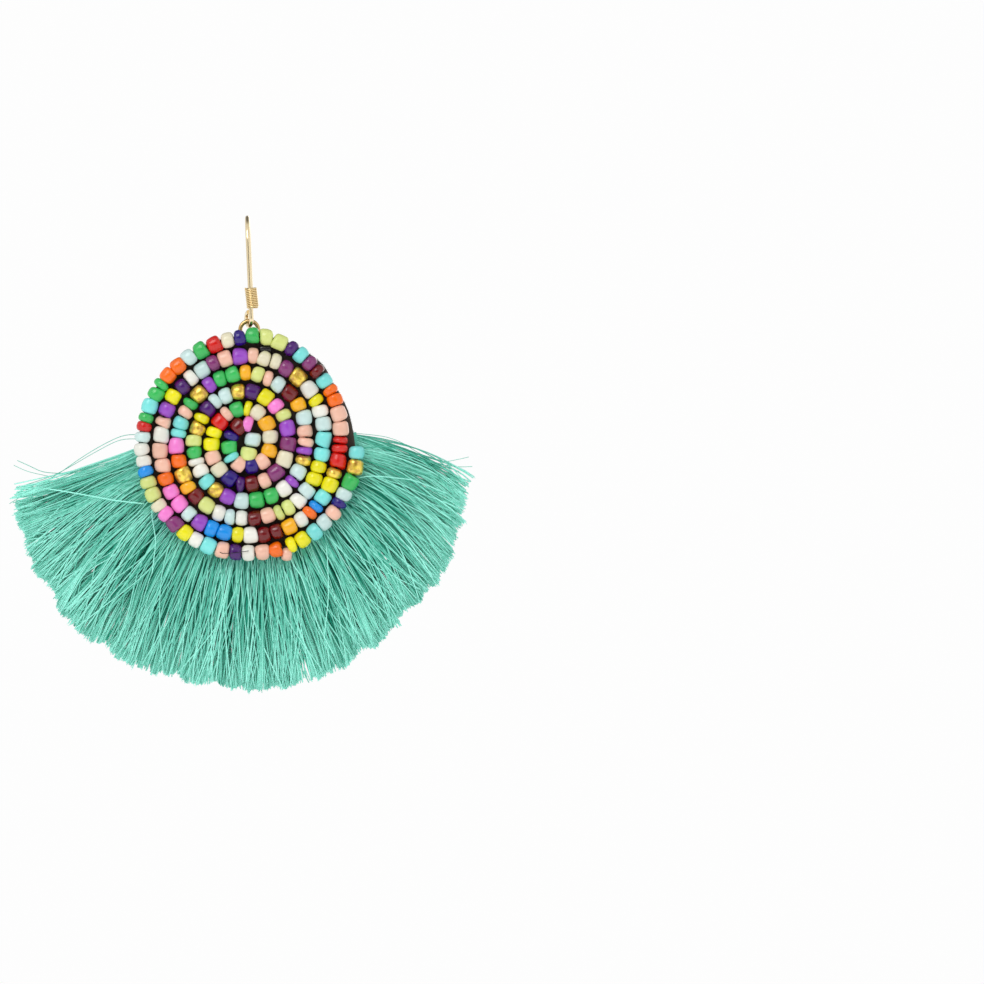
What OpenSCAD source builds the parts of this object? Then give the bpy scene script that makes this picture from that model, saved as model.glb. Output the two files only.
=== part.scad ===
/* [Ear wire] */
// Diameter of the ear wire
wire_d = 0.75; // [0.6:0.05:0.85]
// Radius of the hook's arch, to the middle of the wire
arch_r = 4.3; // [3.5:0.1:5.5]
// Height of the arch's inner top above the middle of the small loop
hook_h = 16.55; // [15.5:0.05:20]
// Length of the straight tail that hangs behind the ear
tail_l = 9.6; // [7:0.1:11]
// Sideways lean of the hook, in degrees
lean = 2.5; // [-4:0.5:4]
// Radius of the small loop, to the middle of the wire
loop_r = 1.15; // [1.1:0.05:1.4]
// Turn of the small loop about the front leg, in degrees
loop_turn = 21; // [0:1:30]
// How far the wire runs round the small loop, in degrees
loop_sweep = 276; // [240:1:278]

/* [Wire coil] */
// Outer diameter of the coil
coil_d = 2.05; // [1.9:0.05:2.3]
// Diameter of the coil's own fine wire
coil_wire_d = 0.25; // [0.2:0.01:0.28]
// Rise of one turn of the coil
coil_pitch = 0.29; // [0.29:0.01:0.6]
// Height of the coil
coil_h = 3.6; // [2.5:0.1:4.2]
// How far the coil sits askew on the leg, in degrees
coil_tilt = 4; // [0:0.5:4.5]

/* [Jump ring] */
// Outer diameter of the ring
ring_d = 3.7; // [3.6:0.1:5]
// Diameter of the ring's wire
ring_wire_d = 0.7; // [0.5:0.05:0.8]
// Height of the ring's middle above the edge of the felt
ring_stand = 0.77; // [0.6:0.01:0.9]

/* [Round layers] */
// Radius of the felt and of the backing behind it
felt_r = 18.6; // [17:0.1:19]
// Thickness of the felt
felt_t = 1; // [0.8:0.1:1.5]
// Thickness of the backing
backing_t = 2; // [1.8:0.1:2.6]

/* [Beads] */
// Diameter of the row of beads
bead_d = 2.66; // [2:0.02:2.7]
// Distance between neighbouring turns of the row
row_pitch = 2.88; // [2.84:0.01:2.95]
// Radius of the outermost turn, to the middle of the beads
row_r = 17.9; // [17.7:0.1:18.3]
// Number of turns that the row makes
row_turns = 5.8; // [4:0.1:5.8]

/* [Fringe] */
// Usual distance of the thread ends from the middle of the disc
fringe_reach = 41; // [34:0.5:48]
// Greatest thickness of the fringe
fringe_t = 3; // [2:0.1:4]
// Thickness of the woven head tape
tape_t = 0.9; // [0.6:0.05:1]
// Width of the head tape between the layers
tape_w = 4; // [2.5:0.1:6]
// Number of locks that the threads gather in
locks = 26; // [16:1:30]
// Depth of the notch between two locks
lock_notch_h = 2.2; // [0:0.1:4]
// Depth of the one wide gap in the hem
hem_gap_h = 5; // [0:0.5:8]

/* [Hidden] */
$fn = 64;

// Clearances
hang_gap = 0.08;
coil_gap = 0.06;
layer_gap = 0.05;
pocket_gap = 0.15;

// The hook before it leans: places along its wire
wire_r = wire_d / 2;
arch_z = wire_r - arch_r;
loop_x = -loop_r * sin(loop_turn);
loop_y = loop_r * cos(loop_turn) - arch_r;
tail_round = 0.2;

// The coil stands above the small loop, and leans on the leg with its left side
coil_r = coil_d / 2;
coil_foot = loop_r + wire_r + hang_gap + coil_r * sin(coil_tilt);
coil_slack = coil_r - coil_wire_d - wire_r - coil_h / 2 * sin(coil_tilt);
coil_shift = max(0, coil_slack - coil_gap);
coil_segments = 14;
coil_sides = 6;

// A point of the upright hook, after the lean
function leaned(p) = [
  p.x * cos(lean) - p.z * sin(lean),
  p.y,
  p.x * sin(lean) + p.z * cos(lean)
];

// The ring hangs in the foot of the small loop
loop_foot = leaned([loop_x, loop_y, -hook_h - loop_r]);
ring_r = (ring_d - ring_wire_d) / 2;
ring_x = loop_foot.x;
ring_y = loop_foot.y;
ring_top_z = loop_foot.z + wire_r + ring_wire_d / 2 + hang_gap;
ring_z = ring_top_z - ring_r;

// The round layers, from the ring's plane forwards
disc_z = ring_z - ring_stand - felt_r;
seam_y = ring_y - ring_wire_d / 2 - pocket_gap;
felt_back_y = seam_y - layer_gap;
felt_front_y = felt_back_y - felt_t;
row_y = felt_front_y - layer_gap - bead_d / 2;
pocket_end_y = ring_y + ring_wire_d / 2 + pocket_gap;
tape_end_y = ring_y + tape_t / 2 + layer_gap;
tape_inner_r = felt_r - tape_w;

// The row of beads winds in clockwise from the right, and steps in while it passes the upper right
QUARTER = 90;
TURN = 360;
row_step_power = 1.6;
row_step_power_loss = 0.18;
row_sides = 8;
row_ring_l = 4.4;
row_ring_max_angle = 32;

// The fringe leaves the disc between two angles, counted clockwise from the top
root_from = 89.5;
root_to = 269.5;
tip_from = 98;
tip_to = 259.6;
recess_slack = 1.2;

// Reach of the thread ends round the hem: clockwise angle, share of fringe_reach
hem = [
  [ 98, 0.94],
  [101, 0.91],
  [110, 0.93],
  [123, 0.95],
  [139, 0.955],
  [154, 0.975],
  [166, 1.005],
  [179, 0.995],
  [192, 1.0],
  [210, 1.015],
  [228, 1.035],
  [234, 1.005],
  [240, 1.03],
  [247, 1.0],
  [260, 1.0]
];

// Sections of the fringe: share of the way from the disc's edge to the tip, and share of its fullness
SECTION_WAY = 0;
SECTION_FULL = 1;
sections = [
  [0.0,  0.0],
  [0.06, 0.12],
  [0.16, 0.5],
  [0.32, 0.85],
  [0.55, 1.0],
  [0.78, 0.95],
  [0.93, 0.6],
  [1.0,  0.2]
];

// One lock across its width: share of its fullness, from one valley to just before the next
lock_profile = [0.3, 0.8, 1.0, 0.8];
lock_sway_d = 0.35;

// The wide gap lies where this many locks, counted from the right, have ended
hem_gap_locks = 11;
hem_gap_half = 2.4;

// A point of the disc's plane, by its distance from the middle and its clockwise angle
function on_disc(r, a, y) = [ring_x + r * sin(a), y, disc_z + r * cos(a)];

function mix(from, to, share) = from + (to - from) * share;

// Faces of a closed tube whose rings have as many points as it has sides
function tube_faces(rings, sides) = concat(
  [[for (s = [0:sides - 1]) s]],
  [
    for (r = [0:rings - 2])
    for (s = [0:sides - 1])
    for (half = [0, 1])
    let (
      a = r * sides + s,
      b = r * sides + (s + 1) % sides,
      c = a + sides,
      d = b + sides
    )
    half == 0 ? [a, c, b] : [b, c, d]
  ],
  [[for (s = [sides - 1:-1:0]) (rings - 1) * sides + s]]
);

// The bent wire of the hook, upright: tail, arch, front leg and small loop
module upright_wire() {
  translate([0, arch_r, arch_z - tail_l])
    cylinder(r = wire_r, h = tail_l);
  translate([0, arch_r, arch_z - tail_l - tail_round])
    cylinder(r1 = wire_r - tail_round, r2 = wire_r, h = tail_round);
  translate([0, 0, arch_z])
    rotate([90, 0, 90])
      rotate_extrude(angle = 180)
        translate([arch_r, 0])
          circle(r = wire_r);
  translate([0, -arch_r, -hook_h])
    cylinder(r = wire_r, h = arch_z + hook_h);
  translate([0, -arch_r, -hook_h])
    rotate([0, 0, loop_turn])
      translate([0, loop_r, 0])
        rotate([90, 0, 90])
          rotate([0, 0, 180])
            rotate_extrude(angle = loop_sweep)
              translate([loop_r, 0])
                circle(r = wire_r);
}

module ear_wire() {
  color("goldenrod")
    rotate([0, -lean, 0])
      upright_wire();
}

// A fine helix round the front leg, a little askew
module wire_coil() {
  helix_r = coil_r - coil_wire_d / 2;
  rise = coil_h - coil_wire_d;
  turns = rise / coil_pitch;
  rings = round(turns * coil_segments) + 1;
  points = [
    for (i = [0:rings - 1])
    let (along = i / (rings - 1), a = TURN * turns * along)
    for (s = [0:coil_sides - 1])
    let (
      around = TURN * s / coil_sides,
      out = helix_r + coil_wire_d / 2 * cos(around),
      up = coil_wire_d / 2 * sin(around)
    )
    [out * cos(a), out * sin(a), rise * (along - 0.5) + up]
  ];
  color("gold")
    rotate([0, -lean, 0])
      translate([coil_shift, -arch_r, coil_foot - hook_h + coil_h / 2])
        rotate([0, -coil_tilt, 0])
          polyhedron(points, tube_faces(rings, coil_sides), convexity = 10);
}

module jump_ring() {
  color("goldenrod")
    translate([ring_x, ring_y, ring_z])
      rotate([90, 0, 0])
        rotate_extrude()
          translate([ring_r, 0])
            circle(d = ring_wire_d);
}

// A cylinder that lies along the view, from its front face back
module lying(r, front_y, back_y) {
  translate([0, back_y, 0])
    rotate([90, 0, 0])
      cylinder(r = r, h = back_y - front_y);
}

module felt_base() {
  color("dimgray")
    translate([ring_x, 0, disc_z])
      lying(felt_r, felt_front_y, felt_back_y);
}

// The rear layer, with the pocket of the ring and the recess of the head tape in its front face
module backing() {
  inner = ring_d / 2 - ring_wire_d - pocket_gap;
  cut = 1;
  color([0.12, 0.12, 0.13])
    difference() {
      translate([ring_x, 0, disc_z])
        lying(felt_r, seam_y, seam_y + backing_t);
      difference() {
        translate([ring_x, 0, ring_z])
          lying(ring_d / 2 + pocket_gap, seam_y - cut, pocket_end_y);
        translate([ring_x, 0, ring_z])
          lying(inner, seam_y - 2 * cut, pocket_end_y + cut);
      }
      translate([ring_x, tape_end_y, disc_z])
        rotate([90, 0, 0])
          rotate([0, 0, QUARTER - root_to - recess_slack])
            rotate_extrude(angle = root_to - root_from + 2 * recess_slack)
              translate([tape_inner_r - pocket_gap, 0])
                square([tape_w + pocket_gap + cut, tape_end_y - seam_y + cut]);
    }
}

// Radius of the row of beads after it has run through the angle a from its outer end
function row_radius(a) =
  let (
    turn = floor(a / TURN),
    step = max(0, (a - TURN * turn - 3 * QUARTER) / QUARTER)
  )
  row_r - row_pitch * (turn + pow(step, row_step_power - row_step_power_loss * turn));

// Angles of the tube's rings: even steps along the row, closer where it winds tightly
function row_angles(a, end) =
  a >= end
    ? [end]
    : concat([a], row_angles(a + min(row_ring_max_angle, row_ring_l / row_radius(a) * TURN / (2 * PI)), end));

module bead_spiral() {
  angles = row_angles(0, TURN * row_turns);
  middles = [for (a = angles) on_disc(row_radius(a), QUARTER + a, row_y)];
  last = len(middles) - 1;
  points = [
    for (i = [0:last])
    let (
      ahead = middles[min(i + 1, last)] - middles[max(i - 1, 0)],
      along = ahead / norm(ahead),
      side = [along.z, 0, -along.x]
    )
    for (s = [0:row_sides - 1])
    let (around = TURN * (s + 0.5) / row_sides)
    middles[i] + bead_d / 2 * (cos(around) * side + sin(around) * [0, 1, 0])
  ];
  color("mediumpurple")
    polyhedron(points, tube_faces(last + 1, row_sides), convexity = 10);
}

// Depth of a pointed dip, 1 in its middle and 0 at its edges
function dip(distance, half) = max(0, 1 - abs(distance) / half);

// Distance of the thread ends from the middle of the disc, for one column of the fringe
function column_reach(tip, full) =
  fringe_reach * lookup(tip, hem)
  - lock_notch_h * (1 - full)
  - hem_gap_h * dip(tip - mix(tip_from, tip_to, hem_gap_locks / locks), hem_gap_half);

// Thread locks fanned out from a head tape, as one sheet that swells and thins from lock to lock
module fringe() {
  per_lock = len(lock_profile);
  columns = locks * per_lock + 1;
  rows = len(sections) + 1;
  front_and_back = [
    for (face = [-1, 1])
    for (i = [0:columns - 1])
    let (
      across = i / (columns - 1),
      full = lock_profile[i % per_lock],
      root = mix(root_from, root_to, across),
      tip = mix(tip_from, tip_to, across),
      start = on_disc(felt_r + layer_gap, root, ring_y),
      end = on_disc(column_reach(tip, full), tip, ring_y),
      sway = lock_sway_d * (floor(i / per_lock) % 2 == 0 ? 1 : -1) * full
    )
    for (j = [0:rows - 1])
    let (
      way = j == 0 ? 0 : sections[j - 1][SECTION_WAY],
      swell = j == 0 ? 0 : sections[j - 1][SECTION_FULL],
      thick = mix(tape_t, max(tape_t, fringe_t * full), swell),
      middle = j == 0 ? on_disc(tape_inner_r, root, ring_y) : mix(start, end, way)
    )
    middle + [0, face * thick / 2 + sway * swell, 0]
  ];
  back = columns * rows;
  function quad(a, b, c, d) = [[a, b, c], [a, c, d]];
  sheet_faces = [
    for (i = [0:columns - 2])
    for (j = [0:rows - 2])
    let (a = i * rows + j, b = a + 1, c = b + rows, d = a + rows)
    for (face = concat(quad(a, b, c, d), quad(a + back, d + back, c + back, b + back)))
    face
  ];
  edge_faces = [
    for (i = [0:columns - 2])
    let (head = i * rows, foot = head + rows - 1)
    for (face = concat(
      quad(head, head + rows, head + rows + back, head + back),
      quad(foot + rows, foot, foot + back, foot + rows + back)
    ))
    face
  ];
  side_faces = [
    for (j = [0:rows - 2])
    let (first = j, final = (columns - 1) * rows + j)
    for (face = concat(
      quad(first + 1, first, first + back, first + 1 + back),
      quad(final, final + 1, final + 1 + back, final + back)
    ))
    face
  ];
  color("mediumaquamarine")
    polyhedron(front_and_back, concat(sheet_faces, edge_faces, side_faces), convexity = 10);
}

ear_wire();
wire_coil();
jump_ring();
felt_base();
backing();
bead_spiral();
fringe();
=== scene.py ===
"""A tassel earring: seed beads, thread fringe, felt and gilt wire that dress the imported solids."""
from __future__ import annotations

import logging
import math
from dataclasses import dataclass, field
from enum import Enum

import bpy
import numpy as np
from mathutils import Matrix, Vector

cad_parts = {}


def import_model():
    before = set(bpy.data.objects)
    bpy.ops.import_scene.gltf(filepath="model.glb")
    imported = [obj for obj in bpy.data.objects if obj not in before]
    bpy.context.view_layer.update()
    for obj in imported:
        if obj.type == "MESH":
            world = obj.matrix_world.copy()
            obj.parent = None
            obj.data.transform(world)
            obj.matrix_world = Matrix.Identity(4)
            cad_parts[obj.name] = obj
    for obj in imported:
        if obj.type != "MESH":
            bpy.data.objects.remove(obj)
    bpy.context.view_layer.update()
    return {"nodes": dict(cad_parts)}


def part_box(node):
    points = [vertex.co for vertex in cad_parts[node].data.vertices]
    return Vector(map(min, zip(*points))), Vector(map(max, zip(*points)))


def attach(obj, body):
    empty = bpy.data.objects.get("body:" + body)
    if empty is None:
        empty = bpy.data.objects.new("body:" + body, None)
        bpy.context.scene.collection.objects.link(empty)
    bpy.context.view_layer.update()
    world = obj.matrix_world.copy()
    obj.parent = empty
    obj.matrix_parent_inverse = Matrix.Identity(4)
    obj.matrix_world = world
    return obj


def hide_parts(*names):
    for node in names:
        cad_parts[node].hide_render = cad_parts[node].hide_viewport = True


MM = 0.001
TURN = 2 * math.pi
FRONT = np.array([0.0, -1.0, 0.0])
LOG = logging.getLogger("tassel_earring")

# A span is a low and a high value, or a start and a length, and a table has rows of two values
Array = np.ndarray
Span = tuple[float, float]
Table = tuple[tuple[float, float], ...]
Settings = dict[str | int, object]
Links = dict[str | int, bpy.types.NodeSocket | bpy.types.Node]


class Body(Enum):
    """The bodies that the new pieces ride on."""

    EAR_WIRE = "ear_wire"
    DROP = "drop"


class GlassKind(Enum):
    """How a seed bead's glass was made, which settles how light goes through it."""

    OPAQUE = "opaque"
    CLEAR = "clear"
    LINED = "lined"


def linear(hex_colour: str) -> tuple[float, float, float, float]:
    """Turns an sRGB hex colour to linear light.

    Args:
        hex_colour: The colour as "#rrggbb".

    Returns:
        Red, green, blue and an alpha of 1.
    """
    parts = [int(hex_colour[i:i + 2], 16) / 255 for i in (1, 3, 5)]
    light = [p / 12.92 if p <= 0.04045 else ((p + 0.055) / 1.055) ** 2.4 for p in parts]
    return light[0], light[1], light[2], 1.0


def smooth(x: Array) -> Array:
    """Rises from 0 to 1 with soft ends as x goes from 0 to 1."""
    x = np.clip(x, 0.0, 1.0)
    return x * x * (3 - 2 * x)


def unit(v: Array) -> Array:
    """Scales each vector along the last axis to a length of 1."""
    return v / np.linalg.norm(v, axis=-1, keepdims=True)


def quarter_turned(ahead: Array) -> Array:
    """Turns each direction by a quarter in the plane of the disc."""
    return np.stack([ahead[..., 2], np.zeros_like(ahead[..., 0]), -ahead[..., 0]], axis=-1)


def add_node(
    tree: bpy.types.NodeTree, kind: str, settings: Settings | None = None, links: Links | None = None,
) -> bpy.types.Node:
    """Adds a shader node with its settings and its incoming links.

    Args:
        tree: The material's or world's node tree.
        kind: The node's type name.
        settings: Values by input name or number, or by the node's own property name.
        links: By the input name or number, the output socket that feeds it, or the node whose first
            output does.

    Returns:
        The new node.
    """
    node = tree.nodes.new(kind)
    for key, value in (settings or {}).items():
        if isinstance(key, int) or key in node.inputs:
            node.inputs[key].default_value = value
        else:
            setattr(node, key, value)
    for key, source in (links or {}).items():
        socket = source.outputs[0] if isinstance(source, bpy.types.Node) else source
        tree.links.new(socket, node.inputs[key])
    return node


def new_material(name: str) -> tuple[bpy.types.Material, bpy.types.NodeTree]:
    """Makes an empty node material.

    Args:
        name: The material's name.

    Returns:
        The material and its node tree.
    """
    material = bpy.data.materials.new(name)
    material.use_nodes = True
    material.node_tree.nodes.clear()
    return material, material.node_tree


def finished(material: bpy.types.Material, settings: Settings, links: Links) -> bpy.types.Material:
    """Ends a material with a Principled shader.

    Args:
        material: The material.
        settings: The shader's own values.
        links: What feeds the shader.

    Returns:
        The same material.
    """
    shader = add_node(material.node_tree, "ShaderNodeBsdfPrincipled", settings, links)
    add_node(material.node_tree, "ShaderNodeOutputMaterial", links={"Surface": shader})
    return material


@dataclass(frozen=True)
class Grain:
    """A surface's fine pattern, such as marks or fibres, by the width of one in millimetres."""

    width_mm: float
    detail: float
    strength: float
    relief_mm: float
    distortion: float = 0.0

    def lay(self, tree: bpy.types.NodeTree) -> tuple[bpy.types.Node, bpy.types.Node]:
        """Adds the pattern to a material.

        Args:
            tree: The material's node tree.

        Returns:
            What gives the pattern from 0 to 1, and what gives the surface's relief.
        """
        place = add_node(tree, "ShaderNodeTexCoord")
        size = {"Scale": 1 / (self.width_mm * MM), "Detail": self.detail, "Distortion": self.distortion}
        pattern = add_node(tree, "ShaderNodeTexNoise", size, {"Vector": place.outputs["Object"]})
        height = {"Strength": self.strength, "Distance": self.relief_mm * MM}
        return pattern, add_node(tree, "ShaderNodeBump", height, {"Height": pattern})


@dataclass(frozen=True)
class SeedBeadGlass:
    """Glass seed beads, drawn as a tube, cut and fire-polished: soft-cornered and evenly glossy.

    The colour of each bead comes from the mesh, so that one finish serves the whole palette.
    """

    kind: GlassKind
    roughness: float
    transmission: float = 0.0
    ior: float = 1.52
    # Faint clouds in the melt, about as wide as half a bead
    cloud_mm: float = 1.6
    # Fire-polish ripple, coarser than the real one so that it shows in the highlights
    ripple: Grain = Grain(width_mm=0.7, detail=1.0, strength=0.3, relief_mm=0.05)

    def material(self) -> bpy.types.Material:
        """Returns the glass, a little cloudy from bead to bead."""
        material, tree = new_material(f"seed_glass_{self.kind.value}")
        tint = add_node(tree, "ShaderNodeAttribute", {"attribute_name": "tint"})
        place = add_node(tree, "ShaderNodeTexCoord")
        cloud = add_node(tree, "ShaderNodeTexNoise", {"Scale": 1 / (self.cloud_mm * MM), "Detail": 2.0},
                         {"Vector": place.outputs["Object"]})
        depth = add_node(tree, "ShaderNodeMapRange", {"To Min": 0.88, "To Max": 1.06}, {"Value": cloud})
        colour = add_node(tree, "ShaderNodeHueSaturation", None, {"Color": tint, "Value": depth})
        _, relief = self.ripple.lay(tree)
        return finished(
            material,
            {"Roughness": self.roughness, "IOR": self.ior, "Transmission Weight": self.transmission},
            {"Base Color": colour, "Normal": relief},
        )


@dataclass(frozen=True)
class SilverLinedGlass:
    """Yellow glass beads whose square bore is silvered: a broken golden glitter under a glossy skin, the
    glitter painted into the colour as bright and dark patches.
    """

    # The glass's yellow: bright where the lining's reflection is painted in, deep where it is not
    bright: str = "#F5D548"
    deep: str = "#B58422"
    # How wide the silvered bore's facets look through the glass, as patches of painted reflection
    glint_patches: Grain = Grain(width_mm=0.8, detail=2.5, strength=0.45, relief_mm=0.07)

    def material(self) -> bpy.types.Material:
        """Returns the lined glass, with the lining's reflections painted in as bright and dark patches."""
        material, tree = new_material("silver_lined_glass")
        glint_patches, relief = self.glint_patches.lay(tree)
        # Bright and dark patches painted in for the lining's reflections; the same pattern also gives a
        # real relief
        share = add_node(tree, "ShaderNodeMapRange", {"From Min": 0.34, "From Max": 0.62},
                         {"Value": glint_patches})
        colours = {"data_type": "RGBA", 6: linear(self.deep), 7: linear(self.bright)}
        colour = add_node(tree, "ShaderNodeMix", colours, {0: share})
        return finished(
            material,
            {"Metallic": 0.6, "Roughness": 0.3, "Coat Weight": 1.0, "Coat Roughness": 0.08},
            {"Base Color": colour.outputs[2], "Normal": relief},
        )


@dataclass(frozen=True)
class GiltWire:
    """Brass wire, drawn, bent and gold-plated: a warm bright metal with faint handling marks."""

    name: str
    colour: str
    roughness: float
    # Real marks are finer than this
    marks: Grain = Grain(width_mm=0.12, detail=4.0, strength=0.15, relief_mm=0.01)

    def material(self) -> bpy.types.Material:
        """Returns the plated metal, with its brightness and gloss slightly uneven."""
        material, tree = new_material(self.name)
        marks, relief = self.marks.lay(tree)
        tone = add_node(tree, "ShaderNodeMapRange", {"To Min": 0.86, "To Max": 1.1}, {"Value": marks})
        colour = add_node(tree, "ShaderNodeHueSaturation", {"Color": linear(self.colour)}, {"Value": tone})
        gloss = add_node(tree, "ShaderNodeMapRange",
                         {"To Min": self.roughness * 0.7, "To Max": self.roughness * 1.5}, {"Value": marks})
        links = {"Base Color": colour, "Roughness": gloss, "Normal": relief}
        return finished(material, {"Metallic": 1.0}, links)


@dataclass(frozen=True)
class PressedFelt:
    """Black craft felt, needle-punched from fine fibres: matt, with a dusty bloom and a hairy edge."""

    name: str
    dark: str
    dusty: str
    # Fibres drawn coarser than real ones, so that they show
    matting: Grain = Grain(width_mm=0.18, detail=5.0, strength=0.9, relief_mm=0.12, distortion=1.5)

    def material(self) -> bpy.types.Material:
        """Returns the felt, matted and dusty."""
        material, tree = new_material(self.name)
        matting, relief = self.matting.lay(tree)
        colours = {"data_type": "RGBA", 6: linear(self.dark), 7: linear(self.dusty)}
        colour = add_node(tree, "ShaderNodeMix", colours, {0: matting})
        return finished(
            material,
            {"Roughness": 0.95, "Specular IOR Level": 0.15, "Sheen Weight": 0.12, "Sheen Roughness": 0.6},
            {"Base Color": colour.outputs[2], "Normal": relief},
        )


@dataclass(frozen=True)
class TwistedThread:
    """Viscose thread, spun in two plies: silky, with a highlight that the twist breaks into dashes, painted
    into the colour.
    """

    name: str
    shade: str
    light: str
    roughness: float
    # One turn of the twist, drawn longer than the real 0.6 mm so that it shows
    ply_pitch_mm: float = 0.9

    def material(self) -> bpy.types.Material:
        """Returns the thread; the mesh gives each thread's tone, partly its own and partly painted shade
        and light, and the way along and round it.
        """
        material, tree = new_material(self.name)
        tone = add_node(tree, "ShaderNodeAttribute", {"attribute_name": "tone"})
        ply = add_node(tree, "ShaderNodeAttribute", {"attribute_name": "ply_mm"})
        turns = add_node(tree, "ShaderNodeMath", {"operation": "MULTIPLY", 1: TURN / self.ply_pitch_mm},
                         {0: ply.outputs["Fac"]})
        twist = add_node(tree, "ShaderNodeMath", {"operation": "SINE"}, {0: turns})
        # Painted highlight: the colour goes lighter and darker in dashes along the twist
        twist_painted_glint = add_node(tree, "ShaderNodeMapRange",
                        {"From Min": -1.0, "From Max": 1.0, "To Min": 0.94, "To Max": 1.04},
                        {"Value": twist})
        colours = {"data_type": "RGBA", 6: linear(self.shade), 7: linear(self.light)}
        body = add_node(tree, "ShaderNodeMix", colours, {0: tone.outputs["Fac"]})
        colour = add_node(tree, "ShaderNodeHueSaturation", None, {"Color": body.outputs[2], "Value": twist_painted_glint})
        relief = add_node(tree, "ShaderNodeBump", {"Strength": 0.15, "Distance": 0.04 * MM},
                          {"Height": twist})
        return finished(
            material,
            {"Roughness": self.roughness, "Specular IOR Level": 0.25},
            {"Base Color": colour, "Normal": relief},
        )


@dataclass(frozen=True)
class OpalAcrylic:
    """An opal acrylic table top, cast and matt, lit softly from below so that it shows as plain white."""

    colour: str = "#FBFBFB"
    glow: float = 0.35

    def material(self) -> bpy.types.Material:
        """Returns the plain glowing white."""
        material, _ = new_material("opal_acrylic")
        white = linear(self.colour)
        return finished(
            material,
            {"Base Color": white, "Roughness": 0.9, "Specular IOR Level": 0.1, "Emission Color": white,
             "Emission Strength": self.glow},
            {},
        )


@dataclass
class Piece:
    """One piece of the dressed earring, gathered as arrays and then made into a mesh."""

    name: str
    body: Body
    slot: str
    finish: bpy.types.Material
    points: list[Array] = field(default_factory=list)
    quads: list[Array] = field(default_factory=list)
    tris: list[Array] = field(default_factory=list)
    values: dict[str, list[Array]] = field(default_factory=dict)

    def add(
        self, points: Array, quads: Array, tris: Array | None = None, **values: Array,
    ) -> None:
        """Adds one closed form.

        Args:
            points: Its points, n by 3, in millimetres.
            quads: Its four-sided faces, as rows of point numbers.
            tris: Its three-sided faces.
            **values: One value, or one row of four, for each point, by attribute name.
        """
        start = sum(len(p) for p in self.points)
        self.points.append(points)
        self.quads.append(quads + start)
        if tris is not None:
            self.tris.append(tris + start)
        for name, value in values.items():
            self.values.setdefault(name, []).append(value)

    def build(self, *replaced: str) -> bpy.types.Object:
        """Makes the mesh, lets it ride on its body and reports it.

        Args:
            *replaced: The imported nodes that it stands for.

        Returns:
            The new object.
        """
        points = np.concatenate(self.points) * MM
        quads = np.concatenate(self.quads)
        tris = np.concatenate(self.tris) if self.tris else np.zeros((0, 3), int)
        mesh = bpy.data.meshes.new(self.name)
        mesh.vertices.add(len(points))
        mesh.vertices.foreach_set("co", points.astype(np.float32).ravel())
        corners = np.concatenate([quads.ravel(), tris.ravel()])
        mesh.loops.add(len(corners))
        mesh.loops.foreach_set("vertex_index", corners.astype(np.int32))
        starts = np.concatenate([np.arange(len(quads)) * 4, len(quads) * 4 + np.arange(len(tris)) * 3])
        mesh.polygons.add(len(starts))
        mesh.polygons.foreach_set("loop_start", starts.astype(np.int32))
        mesh.polygons.foreach_set("use_smooth", np.ones(len(starts), bool))
        for name, parts in self.values.items():
            value = np.concatenate(parts).astype(np.float32)
            single = value.ndim == 1
            layer = mesh.attributes.new(name, "FLOAT" if single else "FLOAT_COLOR", "POINT")
            layer.data.foreach_set("value" if single else "color", value.ravel())
        mesh.update(calc_edges=True)
        mesh.validate()
        mesh.materials.append(self.finish)
        made = bpy.data.objects.new(self.name, mesh)
        bpy.context.scene.collection.objects.link(made)
        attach(made, self.body.value)
        if replaced:
            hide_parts(*replaced)
        LOG.info("%s: %d triangles", self.name, 2 * len(quads) + len(tris))
        return made


def ring_quads(rows: int, columns: int, closed: bool = False) -> Array:
    """Lists the faces between rings of points that follow one another.

    Args:
        rows: How many rings there are.
        columns: How many points each ring has.
        closed: Whether the last ring joins the first.

    Returns:
        The four-sided faces.
    """
    row = np.arange(rows if closed else rows - 1)[:, None]
    here = np.arange(columns)[None, :]
    next_row = (row + 1) % rows
    beside = (here + 1) % columns
    return np.stack([
        row * columns + here,
        next_row * columns + here,
        next_row * columns + beside,
        row * columns + beside,
    ], axis=-1).reshape(-1, 4)


def end_fans(rows: int, columns: int) -> Array:
    """Lists the faces that close the first and the last ring, each round a middle point of its own.

    Args:
        rows: How many rings there are.
        columns: How many points each ring has.

    Returns:
        The three-sided faces. The two middles are numbered after all rings.
    """
    here = np.arange(columns)
    beside = (here + 1) % columns
    last = (rows - 1) * columns
    middle = np.full(columns, rows * columns)
    return np.concatenate([
        np.stack([middle, here, beside], axis=1),
        np.stack([middle + 1, last + beside, last + here], axis=1),
    ])


def sweep(
    paths: Array, radii: Array, sides: int, toward: Array = FRONT,
) -> tuple[Array, Array, Array]:
    """Sweeps closed tubes along many paths at once.

    Args:
        paths: n paths of k points each, n by k by 3.
        radii: The tube's radius at each of these points, n by k.
        sides: How many sides each tube has.
        toward: A way that no path runs in, for all points or for each.

    Returns:
        The points, the side faces and the end faces. The points of one path lie together: k rings,
        then the middles of its two ends.
    """
    count, rings = radii.shape
    ahead = unit(np.gradient(paths, axis=1))
    out = unit(toward - np.sum(ahead * toward, axis=-1, keepdims=True) * ahead)
    side = np.cross(ahead, out)
    around = TURN * np.arange(sides) / sides
    spokes = np.cos(around)[:, None] * side[..., None, :] + np.sin(around)[:, None] * out[..., None, :]
    skin = paths[:, :, None] + radii[:, :, None, None] * spokes
    points = np.concatenate([skin.reshape(count, -1, 3), paths[:, [0, -1]]], axis=1)
    first = (np.arange(count) * (rings * sides + 2))[:, None, None]
    quads = (first + ring_quads(rings, sides)).reshape(-1, 4)
    tris = (first + end_fans(rings, sides)).reshape(-1, 3)
    return points.reshape(-1, 3), quads, tris


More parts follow.
